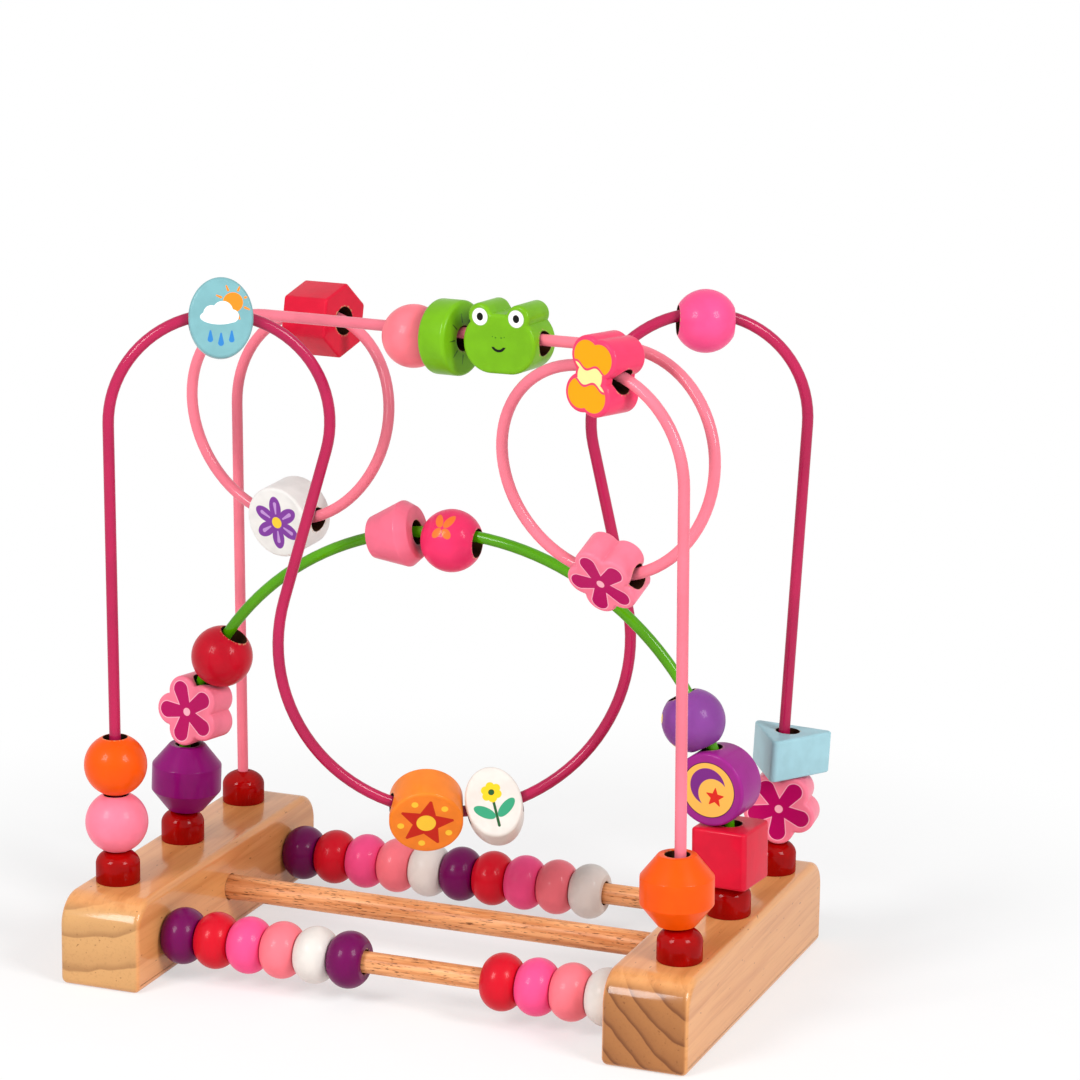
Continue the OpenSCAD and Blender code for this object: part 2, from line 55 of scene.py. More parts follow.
slotOf = {row["node"]: row["material_slot"] for row in frame["record"]["subparts"]}


# Camera, from the fit to the rails, dowels and caps
view = {"azimuth": 20.7966, "elevation": 13.4897, "roll": 0.8553, "lens": 131.59, "sensor": 36, "reach": 100,
        "place": (0.497936, -1.230859, 0.472904)}


def addCamera():
    azimuth, elevation, roll = (math.radians(view[k]) for k in ("azimuth", "elevation", "roll"))
    right = Vector((math.cos(azimuth), math.sin(azimuth), 0))
    ahead = Vector((-math.sin(azimuth) * math.cos(elevation), math.cos(azimuth) * math.cos(elevation),
                    -math.sin(elevation)))
    up = right.cross(ahead)
    across = right * math.cos(roll) + up * math.sin(roll)
    upward = up * math.cos(roll) - right * math.sin(roll)
    lensData = bpy.data.cameras.new("camera")
    lensData.lens = view["lens"]
    lensData.sensor_width = view["sensor"]
    lensData.clip_end = view["reach"]
    camera = bpy.data.objects.new("camera", lensData)
    turn = Matrix((across, upward, -ahead)).transposed().to_4x4()
    camera.matrix_world = Matrix.Translation(view["place"]) @ turn
    scene.collection.objects.link(camera)
    scene.camera = camera
    return right, ahead


viewRight, viewAhead = addCamera()


# Node building
class Signal:  # one output in a node tree, with arithmetic
    def __init__(self, board, socket):
        self.board = board
        self.socket = socket

    def step(self, name, *others):
        return self.board.math(name, self, *others)

    def __add__(self, other):
        return self.step("ADD", other)

    def __radd__(self, other):
        return self.board.math("ADD", other, self)

    def __sub__(self, other):
        return self.step("SUBTRACT", other)

    def __rsub__(self, other):
        return self.board.math("SUBTRACT", other, self)

    def __mul__(self, other):
        return self.step("MULTIPLY", other)

    def __rmul__(self, other):
        return self.board.math("MULTIPLY", other, self)

    def __truediv__(self, other):
        return self.step("DIVIDE", other)

    def __rtruediv__(self, other):
        return self.board.math("DIVIDE", other, self)

    def __neg__(self):
        return self.board.math("SUBTRACT", 0.0, self)

    def __abs__(self):
        return self.step("ABSOLUTE")

    def __or__(self, other):  # the nearer of two outlines
        return self.step("MINIMUM", other)

    def __and__(self, other):  # where two outlines overlap
        return self.step("MAXIMUM", other)

    def root(self):
        return self.step("SQRT")


class Board:  # a node tree under construction
    def __init__(self, tree):
        self.tree = tree

    def add(self, kind, settings=None, sockets=None, out=0):
        node = self.tree.nodes.new(kind)
        for key, value in (settings or {}).items():
            setattr(node, key, value)
        for key, value in (sockets or {}).items():
            if isinstance(value, Signal):
                self.tree.links.new(value.socket, node.inputs[key])
            else:
                node.inputs[key].default_value = value
        return Signal(self, node.outputs[out]) if len(node.outputs) else node

    def math(self, name, *values):
        return self.add("ShaderNodeMath", {"operation": name}, dict(enumerate(values)))

    def split(self, vector):
        node = self.add("ShaderNodeSeparateXYZ", None, {0: vector}).socket.node
        return [Signal(self, node.outputs[i]) for i in range(3)]

    def join(self, x, y, z):
        return self.add("ShaderNodeCombineXYZ", None, {0: x, 1: y, 2: z})

    def noise(self, vector, scale, detail=2.0, rough=0.5):
        return self.add("ShaderNodeTexNoise", None,
                        {"Vector": vector, "Scale": scale, "Detail": detail, "Roughness": rough})

    def streaks(self, vector, stretch, detail=2.0, rough=0.5):  # noise drawn out along an axis
        drawn = self.add("ShaderNodeMapping", None, {"Vector": vector, "Scale": stretch})
        return self.noise(drawn, 1.0, detail, rough)

    def ramp(self, value, low, high):  # 0 at low, 1 at high
        return self.add("ShaderNodeMapRange", {"interpolation_type": "SMOOTHSTEP"},
                        {"Value": value, "From Min": low, "From Max": high})

    def share(self, value, low, high):  # the same, straight
        return self.add("ShaderNodeMapRange", None, {"Value": value, "From Min": low, "From Max": high})

    def tint(self, factor, first, second):
        return self.add("ShaderNodeMix", {"data_type": "RGBA"}, {0: factor, 6: first, 7: second}, 2)

    def close(self, colour, rough, height, look):
        bump = self.add("ShaderNodeBump", None, {"Strength": 1.0, "Distance": look["bump"], "Height": height})
        shader = self.add("ShaderNodeBsdfPrincipled", None, {
            "Base Color": colour, "Roughness": rough, "Normal": bump, "Coat Weight": look["coat"],
            "Coat Roughness": look["coatRough"], "Specular IOR Level": look["shine"]})
        self.add("ShaderNodeOutputMaterial", None, {"Surface": shader})


def ink(red, green, blue):  # a screen colour as straight light
    parts = [v / 255 for v in (red, green, blue)]
    return tuple(v / 12.92 if v <= 0.04045 else ((v + 0.055) / 1.055) ** 2.4 for v in parts) + (1.0,)


def shaded(colour, light):
    return tuple(min(1.0, v * light) for v in colour[:3]) + (1.0,)


def newFinish(name):
    material = bpy.data.materials.new(name)
    material.use_nodes = True
    material.node_tree.nodes.clear()
    return material, Board(material.node_tree)


# Flat figures for the prints: distances in millimetres, below zero inside
def spot(x, y, atX, atY, radius):
    dx = x - atX
    dy = y - atY
    return (dx * dx + dy * dy).root() - radius


def egg(x, y, atX, atY, wide, tall, turn=0.0):
    c, s = math.cos(math.radians(turn)), math.sin(math.radians(turn))
    u = ((x - atX) * c + (y - atY) * s) / wide
    v = ((y - atY) * c - (x - atX) * s) / tall
    return ((u * u + v * v).root() - 1.0) * min(wide, tall)


def fold(x, y, count, phase=0.0):  # turns a ring of petals into one petal along u
    board = x.board
    sector = 2 * math.pi / count
    angle = board.math("ARCTAN2", y, x) - math.radians(phase)
    angle = angle - (angle / sector).step("ROUND") * sector
    reach = (x * x + y * y).root()
    return reach * angle.step("COSINE"), reach * angle.step("SINE")


def stroke(u, v, start, end, thin, thick):  # a line along u that widens
    t = u.board.share(u, start, end)
    off = u - (t * (end - start) + start)
    return (off * off + v * v).root() - (t * (thick - thin) + thin)


# Prints. A ring is how many and the first angle, a stroke is its start, its end and the half widths there
frogInk = {"line": ink(14, 16, 10), "white": ink(250, 250, 248), "rim": ink(150, 176, 120),
           "nose": ink(62, 120, 18)}
frogFace = {"eye": (7.0, 9.0), "white": 2.9, "rim": 0.22, "pupil": (1.25, 1.38), "smileUp": 0.3, "smile": 2.6,
            "line": 0.46, "nostril": (1.1, 2.2, 0.3), "freckle": (2.3, 2.5, 0.22)}


def frogMarks(x, y, z):
    f = frogFace
    side = abs(x)
    smile = abs(spot(x, y, 0.0, f["smileUp"], f["smile"])) - f["line"]
    smile = smile & (y - (f["smileUp"] - f["smile"] / 2))  # only the foot of the circle
    freckles = spot(side, y, *f["nostril"]) | spot(side, y, *f["freckle"])
    return [(spot(side, y, *f["eye"], f["white"] + f["rim"]), frogInk["rim"]),
            (spot(side, y, *f["eye"], f["white"]), frogInk["white"]),
            (egg(side, y, *f["eye"], *f["pupil"]), frogInk["line"]),
            (smile, frogInk["line"]), (freckles, frogInk["nose"])]


flowerInk = {"petal": ink(180, 6, 92), "edge": ink(252, 176, 196), "dot": ink(250, 176, 190)}
flowerPrint = {"petals": 5, "petal": (1.0, 8.4, 1.9, 2.95), "edge": 0.3, "dot": 1.45}


def flowerMarks(x, y, z):
    p = flowerPrint
    petal = stroke(*fold(x, y, p["petals"]), *p["petal"])
    return [(petal - p["edge"], flowerInk["edge"]), (petal, flowerInk["petal"]),
            (spot(x, y, 0.0, 0.0, p["dot"]), flowerInk["dot"])]


skyInk = {"ground": ink(122, 172, 178), "sun": ink(246, 140, 40), "cloud": ink(250, 250, 248),
          "drop": ink(52, 128, 196)}
skyPrint = {"sun": (4.0, 5.2), "sunWide": 3.4, "rays": (8, 22.5), "ray": (4.4, 6.0, 0.4, 0.25),
            "base": (-0.6, 0.2, 6.4, 2.5), "puffs": ((-3.2, 1.4, 2.7), (0.6, 2.2, 3.4), (3.8, 0.6, 2.2)),
            "dropsAt": 0.1, "apart": 3.6, "outer": (-7.4, -4.6, 0.95, 0.3), "inner": (-8.6, -5.4, 1.0, 0.3)}


def skyMarks(x, y, z):
    p = skyPrint
    sunX, sunY = p["sun"]
    rays = stroke(*fold(x - sunX, y - sunY, *p["rays"]), *p["ray"])
    cloud = egg(x, y, *p["base"])
    for puff in p["puffs"]:
        cloud = cloud | spot(x, y, *puff)
    outer = stroke(y, abs(x - p["dropsAt"]) - p["apart"], *p["outer"])
    inner = stroke(y, x - p["dropsAt"], *p["inner"])
    return [(spot(x, y, sunX, sunY, p["sunWide"]), skyInk["sun"]), (rays, skyInk["sun"]),
            (cloud, skyInk["cloud"]), (outer | inner, skyInk["drop"])]


starInk = {"star": ink(200, 40, 24), "heart": ink(252, 205, 60)}
starPrint = {"points": (5, 90), "point": (0.0, 9.2, 4.4, 0.6), "heart": 3.4, "dots": (5, -90), "dotsAt": 9.0,
             "dot": 1.2}


def starMarks(x, y, z):
    p = starPrint
    star = stroke(*fold(x, y, *p["points"]), *p["point"])
    dots = spot(*fold(x, y, *p["dots"]), p["dotsAt"], 0.0, p["dot"])
    return [(star, starInk["star"]), (spot(x, y, 0.0, 0.0, p["heart"]), starInk["heart"]),
            (dots, starInk["heart"])]


leafInk = {"ground": ink(230, 224, 216), "leaf": ink(60, 160, 120), "bud": ink(250, 205, 40),
           "stem": ink(40, 90, 50)}
leafPrint = {"stem": (-9.0, 3.0, 0.5, 0.45), "leaf": (3.9, -3.2, 4.2, 1.9, 38), "budUp": 3.4, "bud": 2.2,
             "petals": (6, 30), "petal": (2.2, 0.0, 1.55), "eye": 1.1}


def leafMarks(x, y, z):
    p = leafPrint
    leaves = egg(abs(x), y, *p["leaf"])
    petals = spot(*fold(x, y - p["budUp"], *p["petals"]), *p["petal"])
    bud = petals | spot(x, y, 0.0, p["budUp"], p["bud"])
    return [(stroke(y, x, *p["stem"]), leafInk["stem"]), (leaves, leafInk["leaf"]),
            (bud, leafInk["bud"]), (spot(x, y, 0.0, p["budUp"], p["eye"]), leafInk["stem"])]


violetInk = {"ground": ink(238, 236, 232), "petal": ink(132, 62, 160), "heart": ink(250, 210, 60),
             "vein": ink(196, 150, 214)}
violetPrint = {"petals": (6, 90), "petal": (5.6, 0.0, 4.2, 2.55), "vein": (3.4, 7.0, 0.3, 0.7), "heart": 2.1}


def violetMarks(x, y, z):
    p = violetPrint
    u, v = fold(x, y, *p["petals"])
    return [(egg(u, v, *p["petal"]), violetInk["petal"]), (stroke(u, v, *p["vein"]), violetInk["vein"]),
            (spot(x, y, 0.0, 0.0, p["heart"]), violetInk["heart"])]


cloverLook = {"lobe": 6.6, "up": 6.4, "along": 2.8, "thick": 16.0, "steps": 200}
cloverInk = {"ground": ink(236, 62, 104), "band": ink(252, 160, 8), "pale": ink(244, 228, 150)}
cloverBands = {"inset": 1.5, "wave": 0.9, "ripple": 0.75, "pale": 2.8, "line": 0.4}


def cloverMarks(x, y, z):  # three wavy bands inside the outline
    b = cloverBands
    lobe = cloverLook["lobe"] - b["inset"]
    inside = spot(abs(x), abs(y), cloverLook["along"], cloverLook["up"], lobe)
    inside = inside | spot(x, y, 0.0, 0.0, lobe)
    level = abs(y - (x * b["ripple"]).step("SINE") * b["wave"])
    return [(inside, cloverInk["band"]), (inside & (level - b["pale"]), cloverInk["pale"]),
            (inside & (abs(level - b["pale"]) - b["line"]), cloverInk["ground"])]


moonInk = {"ground": ink(152, 36, 132), "sky": ink(246, 184, 84), "edge": ink(60, 14, 56),
           "moon": ink(120, 40, 130), "star": ink(214, 40, 28)}
moonPrint = {"sky": 9.6, "edge": 0.3, "moon": (-1.2, 0.0, 6.6), "bite": (1.8, 1.4, 5.6), "star": (2.8, 1.8),
             "points": (5, 90), "point": (0.0, 3.2, 1.5, 0.25)}


def moonMarks(x, y, z):
    p = moonPrint
    starX, starY = p["star"]
    sky = spot(x, y, 0.0, 0.0, p["sky"])
    moon = spot(x, y, *p["moon"]) & -spot(x, y, *p["bite"])
    star = stroke(*fold(x - starX, y - starY, *p["points"]), *p["point"])
    return [(sky - p["edge"], moonInk["edge"]), (sky, moonInk["sky"]), (moon, moonInk["moon"]),
            (star, moonInk["star"])]


ballInk = {"ground": ink(236, 50, 102), "bloom": ink(240, 120, 50), "dot": ink(252, 214, 90)}
ballPrint = {"bloomUp": 6.4, "petals": (4, 45), "petal": (2.5, 0.0, 2.0, 1.3), "front": 2.0,
             "dots": 6, "dotsAt": 5.2, "dot": 1.5, "below": 2.0}


def bloomMarks(x, y, z):  # a small bloom high on the front of the ball
    p = ballPrint
    bloom = egg(*fold(y + p["bloomUp"], z, *p["petals"]), *p["petal"])
    return [(bloom & (-x + p["front"]), ballInk["bloom"])]


def dotMarks(x, y, z):  # dots on the lower half of the ball
    p = ballPrint
    dots = spot(fold(x, y, p["dots"])[1], abs(z), 0.0, p["dotsAt"], p["dot"])
    return [(dots & (p["below"] - y), ballInk["dot"])]


# The ring's creases are dark strokes on flat faces: painted shade.
ringCreaseShade = ink(52, 96, 14)
ringCreaseLook = {"creases": 9, "crease": (5.8, 8.8, 0.3, 0.12), "face": 5.3}


def ringMarks(x, y, z):  # fine creases on the ring's end faces, drawn as dark lines: painted shade of creases that the flat faces lack
    p = ringCreaseLook
    creases = stroke(*fold(x, y, p["creases"]), *p["crease"])
    return [(creases & (p["face"] - abs(z)), ringCreaseShade)]


# Painted wood. A span is the stretch of a noise over which a change goes from none to full
beadBore = 4.2
wideBore = 5.0
# The colour inside the bore is bare wood, darkened far below the chipped wood as painted shade of the hole.
paintLook = {"cloud": 0.16, "cloudSpan": (0.32, 0.68), "dark": 0.94, "light": 1.03,
             "along": 0.22, "across": 1.5, "grainSpan": (0.62, 0.8), "grainTone": 0.72, "grainShare": 0.22,
             "printEdge": 0.08, "printFrom": 0.3, "printFull": 0.1, "lathe": 2.4,
             "lip": 0.15, "chip": 1.3, "chipSpan": (0.5, 0.6), "chipFrom": 0.8, "chipFull": 0.25,
             "chipShare": 0.7, "bareAndShadedEdge": 0.12, "bareAndShaded": ink(58, 34, 18), "wood": ink(206, 160, 112),
             "rough": 0.26, "bareRough": 0.4, "cloudRough": 0.12, "grainRough": 0.08,
             "bump": 0.00003, "shine": 0.08, "coat": 0.14, "coatRough": 0.1}
paintInk = {"paint_purple": ink(126, 8, 98), "paint_red": ink(206, 18, 38),
            "paint_hot_pink": ink(244, 80, 138), "paint_light_pink": ink(246, 120, 132),
            "paint_pale_pink": ink(246, 126, 150), "paint_white": ink(224, 217, 210),
            "paint_orange": ink(240, 84, 2), "paint_peach": ink(246, 134, 42),
            "paint_blue": ink(160, 202, 212), "paint_green": ink(114, 176, 20),
            "paint_violet": ink(130, 64, 144)}


def paintFinish(name, colour, hole, bore="z", marks=None, face=None, lathe=0.0):
    look = paintLook
    rim = hole + look["lip"]
    material, board = newFinish(name)
    place = board.add("ShaderNodeAttribute", {"attribute_name": "place"}, None, "Vector")
    x, y, z = board.split(place)
    if bore == "z":
        around = (x * x + y * y).root()
        stretch = (look["across"], look["across"], look["along"])
    else:
        around = (y * y + z * z).root()
        stretch = (look["along"], look["across"], look["across"])
    cloud = board.noise(place, look["cloud"])
    grain = board.streaks(place, stretch, 4.0, 0.62)
    tone = board.tint(board.ramp(cloud, *look["cloudSpan"]), shaded(colour, look["dark"]),
                      shaded(colour, look["light"]))
    tone = board.tint(board.ramp(grain, *look["grainSpan"]) * look["grainShare"], tone,
                      shaded(colour, look["grainTone"]))
    if marks:
        for distance, pigment in marks(x, y, z):
            mask = board.ramp(distance, look["printEdge"], -look["printEdge"])
            if face:  # a print on the front alone
                mask = mask * board.ramp(z, face - look["printFrom"], face - look["printFull"])
            tone = board.tint(mask, tone, pigment)
    chips = board.ramp(around, rim + look["chipFrom"], rim + look["chipFull"])
    chips = chips * board.ramp(board.noise(place, look["chip"]), *look["chipSpan"])
    # inside the bore: bare wood with painted shade, much darker than the wood of the chips
    bareAndShaded = board.ramp(around, rim + look["bareAndShadedEdge"], rim - look["bareAndShadedEdge"])
    tone = board.tint(chips * look["chipShare"], tone, look["wood"])
    tone = board.tint(bareAndShaded, tone, look["bareAndShaded"])
    rough = bareAndShaded * look["bareRough"] + cloud * look["cloudRough"] + grain * look["grainRough"] + look["rough"]
    height = grain
    if lathe:  # fine rings left by the turning
        rings = board.noise(board.join(0.0, 0.0, z * look["lathe"]), 1.0)
        height = grain * (1 - lathe) + rings * lathe
    board.close(tone, rough, height, look)
    return material


plainPaints = {}


def plainPaint(slot, hole):  # one finish for each paint and bore
    name = slot if hole == beadBore else slot + "_wide"
    if name not in plainPaints:
        plainPaints[name] = paintFinish(name, paintInk[slot], hole)
    return plainPaints[name]


# Wood, wire and cap finishes
def objectPlace(board):  # millimetres in the part's frame
    coords = board.add("ShaderNodeTexCoord", None, None, "Object")
    return board.add("ShaderNodeMapping", {"vector_type": "TEXTURE"},
                     {"Vector": coords, "Scale": (mm, mm, mm)})


pineLook = {"early": ink(226, 160, 98), "late": ink(196, 122, 62), "endLate": ink(112, 60, 22),
            "drift": (0.018, 0.006, 0.018), "driftBy": 14.0, "waver": (0.07, 0.008, 0.07), "waverBy": 4.5,
            "lean": 0.03, "ringSoft": (0.1, 0.95), "ringSharp": (0.72, 0.95), "ringEnd": (1.0, 0.95),
            "softShare": 0.4, "sideShare": 0.3, "endSpan": (0.55, 0.9),
            "fibre": (1.1, 0.035, 1.1), "fibreSpan": (0.5, 0.75), "fibreShare": 0.16,
            "streak": (0.22, 0.012, 0.22), "streakSpan": (0.42, 0.72), "streakShare": 0.5,
            "speck": (0.7, 0.22, 0.7), "speckSpan": (0.72, 0.78), "speckShare": 0.55,
            "rough": 0.36, "fibreRough": 0.12, "endRough": 0.06, "lateBump": 0.3,
            "bump": 0.00005, "shine": 0.1, "coat": 0.62, "coatRough": 0.12}
railWood = {  # heart: the middle of the year rings, x and z
    "left": {"heart": (-118.0, 84.0), "pitch": 11.0, "bold": 0.45, "endEarly": ink(210, 158, 100)},
    "right": {"heart": (160.0, 96.0), "pitch": 7.4, "bold": 0.9, "endEarly": ink(170, 110, 58)}}


def pineFinish(name, wood):
    look = pineLook
    material, board = newFinish(name)
    place = objectPlace(board)
    x, y, z = board.split(place)
    drift = board.streaks(place, look["drift"]) - 0.5
    waver = board.streaks(place, look["waver"]) - 0.5
    dx = x - wood["heart"][0]
    dz = z - wood["heart"][1]
    reach = (dx * dx + dz * dz).root() + drift * look["driftBy"] + waver * look["waverBy"] + y * look["lean"]
    ring = (reach / wood["pitch"]).step("FRACT")
    late = board.ramp(ring, *look["ringSoft"]) * look["softShare"]
    late = late + board.ramp(ring, *look["ringSharp"]) * (1 - look["softShare"])
    late = late * board.ramp(ring, *look["ringEnd"])
    fibre = board.streaks(place, look["fibre"], 4.0, 0.6)
    streak = board.streaks(place, look["streak"], 3.0)
    facing = board.add("ShaderNodeNewGeometry", None, None, "Normal")
    end = board.ramp(abs(board.split(facing)[1]), *look["endSpan"])
    side = board.tint(late * look["sideShare"], look["early"], look["late"])
    side = board.tint(board.ramp(streak, *look["streakSpan"]) * look["streakShare"], side, look["late"])
    front = board.tint(late * wood["bold"], wood["endEarly"], look["endLate"])
    tone = board.tint(end, side, front)
    specks = board.ramp(board.streaks(place, look["speck"], 1.0), *look["speckSpan"])
    tone = board.tint(specks * look["speckShare"], tone, look["endLate"])
    tone = board.tint(board.ramp(fibre, *look["fibreSpan"]) * look["fibreShare"], tone, look["endLate"])
    rough = fibre * look["fibreRough"] + look["rough"] + end * look["endRough"]
    height = fibre * (1 - look["lateBump"]) + late * look["lateBump"]
    board.close(tone, rough, height, look)
    return material


beechLook = {"base": ink(200, 124, 70), "light": ink(246, 178, 122), "fleck": ink(84, 40, 16),
             "cloud": (0.03, 0.55, 0.55), "cloudSpan": (0.3, 0.7), "pore": (0.34, 3.0, 3.0),
             "poreSpan": (0.61, 0.69), "fleckShare": 0.8, "rough": 0.4, "cloudRough": 0.15,
             "bump": 0.00008, "shine": 0.2, "coat": 0.1, "coatRough": 0.2}


def beechFinish(name):
    look = beechLook
    material, board = newFinish(name)
    place = objectPlace(board)
    cloud = board.streaks(place, look["cloud"], 4.0, 0.6)
    flecks = board.ramp(board.streaks(place, look["pore"], 2.0, 0.4), *look["poreSpan"])
    tone = board.tint(board.ramp(cloud, *look["cloudSpan"]), look["base"], look["light"])
    tone = board.tint(flecks * look["fleckShare"], tone, look["fleck"])
    board.close(tone, cloud * look["cloudRough"] + look["rough"], 1.0 - flecks, look)
    return material


capSkin = {"cloud": 0.1, "cloudDetail": 2.0, "cloudSpan": (0.3, 0.7), "fine": 1.4, "rough": 0.1,
           "fineRough": 0.08, "bump": 0.000004, "shine": 0.0, "coat": 0.24, "coatRough": 0.03}
wireSkin = {"cloud": 0.05, "cloudDetail": 3.0, "cloudSpan": (0.3, 0.7), "fine": 1.1, "rough": 0.24,
            "fineRough": 0.06, "bump": 0.000004, "shine": 0.03, "coat": 0.45, "coatRough": 0.1,
            "dark": 0.9, "light": 1.06}


def plasticFinish(name, look, dark, light):
    material, board = newFinish(name)
    place = objectPlace(board)
    cloud = board.noise(place, look["cloud"], look["cloudDetail"])
    fine = board.noise(place, look["fine"], 3.0)
    tone = board.tint(board.ramp(cloud, *look["cloudSpan"]), dark, light)
    board.close(tone, fine * look["fineRough"] + look["rough"], fine, look)
    return material


wireInk = {"wire_magenta": ink(178, 28, 77), "wire_pink": ink(237, 120, 138), "wire_green": ink(80, 154, 0)}
for node, colour in wireInk.items():
    dark, light = shaded(colour, wireSkin["dark"]), shaded(colour, wireSkin["light"])
    frame["nodes"][node].data.materials[0] = plasticFinish(node, wireSkin, dark, light)
beech = beechFinish("beech")
for node in ("dowel_front", "dowel_middle", "dowel_back"):
    frame["nodes"][node].data.materials[0] = beech
print("wires and dowels finished")


# Where a bead stands: its middle, and the way its bore runs
alike = {"same": 0.999, "end": 0.98, "side": 0.03, "face": 0.2}  # cosines that sort the flat sides
upright = 0.2  # a bore this near to plumb takes its turn from y


def boxMiddle(node):
    low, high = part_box(node)
    return (low + high) / 2


def boreWay(node):
    joint = jointOf[node]
    axis = Vector(joint["axis"]).normalized()
    if joint["type"] == "slide":
        return axis
    arm = boxMiddle(node) - Vector(joint["pos_m"])
    return axis.cross(arm - arm.project(axis)).normalized()


def flatSides(node):  # area, centre and direction of every flat side of a node's mesh
    sides = {}
    mesh = frame["nodes"][node].data
    for face in mesh.polygons:
        key = tuple(round(v, 2) + 0.0 for v in face.normal)
        area, middle, normal = sides.get(key, (0.0, Vector(), Vector()))
        sides[key] = (area + face.area, middle + face.center * face.area, normal + face.normal * face.area)
    return [(area, middle / area, normal.normalized()) for area, middle, normal in sides.values() if area > 0]


def midway(rows, way):  # halfway between the faces that look along a direction and those that look back
    ends = []
    for sign in (1, -1):
        group = [row for row in rows if row[2].dot(way) * sign > alike["same"]]
        ends.append(sum((row[1] * row[0] for row in group), Vector()) / sum(row[0] for row in group))
    return (ends[0] + ends[1]) / 2


def stance(middle, across, upward, facing):
    turn = Matrix((across, upward, facing)).transposed().to_4x4()
    return Matrix.Translation(middle) @ turn @ Matrix.Diagonal((mm, mm, mm, 1.0))


def boreStance(node, bore):  # z along the bore, any turn
    side = bore.cross(Vector((0, 0, 1)))
    if side.length < upright:
        side = bore.cross(Vector((0, 1, 0)))
    side.normalize()
    return stance(boxMiddle(node), side, bore.cross(side), bore)


def faceStance(node, bore):  # middle, way along the bore and way out of the printed face
    flats = [row for row in flatSides(node) if abs(row[2].dot(bore)) < alike["face"]]
    facing = max(flats, key=lambda row: row[0])[2]
    if facing.dot(viewAhead) > 0:
        facing = -facing
    middle = midway(flats, facing)
    across = (bore - facing * bore.dot(facing)).normalized()  # a bead may stand askew on its wire
    if across.dot(viewRight) < 0:
        across = -across
    return middle, across, facing


def endStance(node, bore):  # z along the bore, x out of a side face
    rows = flatSides(node)
    ends = [row for row in rows if row[2].dot(bore) > alike["end"]]
    bore = max(ends, key=lambda row: row[0])[2]
    sides = [row for row in rows if abs(row[2].dot(bore)) < alike["side"]]
    across = max(sides, key=lambda row: row[0])[2]
    return stance(midway(rows, bore), across, bore.cross(across), bore)


# Outlines
def roundCorners(points, radii, steps=6, most=0.49):  # a corner takes at most this share of a side
    done = []
    for i, corner in enumerate(points):
        here = Vector(corner)
        before = Vector(points[i - 1]) - here
        after = Vector(points[(i + 1) % len(points)]) - here
        radius = radii[i] if isinstance(radii, (list, tuple)) else radii
        if radius <= 0:
            done.append(tuple(here))
            continue
        half = before.angle(after) / 2
        run = min(radius / math.tan(half), before.length * most, after.length * most)
        start = here + before.normalized() * run
        end = here + after.normalized() * run
        centre = here + (before.normalized() + after.normalized()).normalized() * (run / math.cos(half))
        a, b = start - centre, end - centre
        for k in range(steps + 1):
            way = a.normalized().slerp(b.normalized(), k / steps) if a.angle(b) > 1e-4 else a.normalized()
            done.append(tuple(centre + way * a.length))
    return done


def ringOutline(reach, count):  # an outline from a distance for each angle
    angles = [2 * math.pi * (k + 0.5) / count for k in range(count)]
    return [(reach(a) * math.cos(a), reach(a) * math.sin(a)) for a in angles]


def lobeReach(angle, atX, atY, radius):  # how far a ray goes before it leaves a circle
    along = atX * math.cos(angle) + atY * math.sin(angle)
    left = radius * radius - atX * atX - atY * atY + along * along
    return along + math.sqrt(left) if left > 0 else 0.0


def ovalOutline(length, width, count):
    a, b = length / 2, width / 2
    return ringOutline(lambda angle: a * b / math.hypot(b * math.cos(angle), a * math.sin(angle)), count)


# Turned pieces: a profile of distance from the bore and height, spun by geometry nodes
meshLook = {"seam": 0.002, "double": 0.0005}  # points nearer than this become one


def turningTree():
    tree = bpy.data.node_groups.new("Turning", "GeometryNodeTree")
    tree.interface.new_socket("Profile", in_out="INPUT", socket_type="NodeSocketGeometry")
    tree.interface.new_socket("Steps", in_out="INPUT", socket_type="NodeSocketInt")
    tree.interface.new_socket("Finish", in_out="INPUT", socket_type="NodeSocketMaterial")
    tree.interface.new_socket("Turned", in_out="OUTPUT", socket_type="NodeSocketGeometry")
    board = Board(tree)
    given = tree.nodes.new("NodeGroupInput")
    profile, steps, finish = (Signal(board, given.outputs[i]) for i in range(3))
    count = board.add("GeometryNodeAttributeDomainSize", None, {0: profile})
    rows = count + 1
    columns = steps + 1
    grid = board.add("GeometryNodeMeshGrid", None, {"Vertices X": rows, "Vertices Y": columns})
    index = board.add("GeometryNodeInputIndex")
    row = (index / columns).step("FLOOR")
    column = index - row * columns
    row = row - (row / count).step("FLOOR") * count  # the profile is a closed loop
    position = board.add("GeometryNodeInputPosition")
    point = board.add("GeometryNodeSampleIndex", {"data_type": "FLOAT_VECTOR", "domain": "POINT"},
                      {0: profile, 1: position, 2: row})
    reach, height = board.split(point)[::2]
    angle = column / steps * (2 * math.pi)
    place = board.join(reach * angle.step("COSINE"), reach * angle.step("SINE"), height)
    moved = board.add("GeometryNodeSetPosition", None, {"Geometry": grid, "Position": place})
    merged = board.add("GeometryNodeMergeByDistance", None, {"Geometry": moved, "Distance": meshLook["seam"]})
    smooth = board.add("GeometryNodeSetShadeSmooth", None, {"Geometry": merged, "Shade Smooth": True})
    real = board.add("GeometryNodeRealizeInstances", None, {"Geometry": smooth})
    done = board.add("GeometryNodeSetMaterial", None, {"Geometry": real, "Material": finish})
    out = tree.nodes.new("NodeGroupOutput")
    tree.links.new(done.socket, out.inputs[0])
    return tree


turning = turningTree()


def setInput(modifier, name, value):
    for item in modifier.node_group.interface.items_tree:
        if item.item_type == "SOCKET" and item.in_out == "INPUT" and item.name == name:
            modifier[item.identifier] = value


